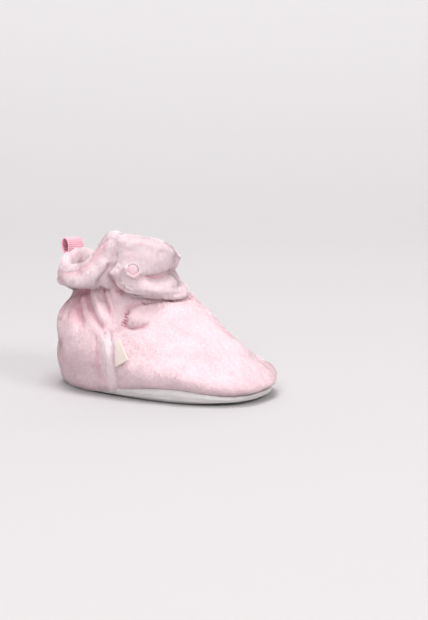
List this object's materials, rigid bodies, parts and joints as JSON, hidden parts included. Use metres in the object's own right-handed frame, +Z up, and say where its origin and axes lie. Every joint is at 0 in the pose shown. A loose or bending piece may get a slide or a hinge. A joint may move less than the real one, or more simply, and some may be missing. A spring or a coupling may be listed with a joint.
{
  "type": "baby bootie slipper",
  "caption": "Soft padded baby bootie for the right foot, gathered at the ankle, with a wrap-over ankle flap, a turned-out cuff and a padded fabric sole.",
  "frame": {"origin": "on the floor under the middle of the sole, on its lengthwise centre line", "axes": "+X towards the toe, +Y towards the inner side of the foot, +Z up"},
  "size_m": [0.119, 0.0708, 0.0825],
  "materials": {
    "plush": "matte",
    "sole_fabric": "matte",
    "lining": "matte",
    "ribbon": "matte",
    "label_tape": "matte",
    "snap_plastic": "gloss"
  },
  "bodies": {
    "root": {"outsole": "sole_fabric", "insole": "lining", "upper": "plush", "ankle_flap": "plush", "pull_loop": "ribbon", "side_label": "label_tape", "snap_cap_outer": "snap_plastic", "snap_cap_front": "snap_plastic"}
  },
  "joints": []
}
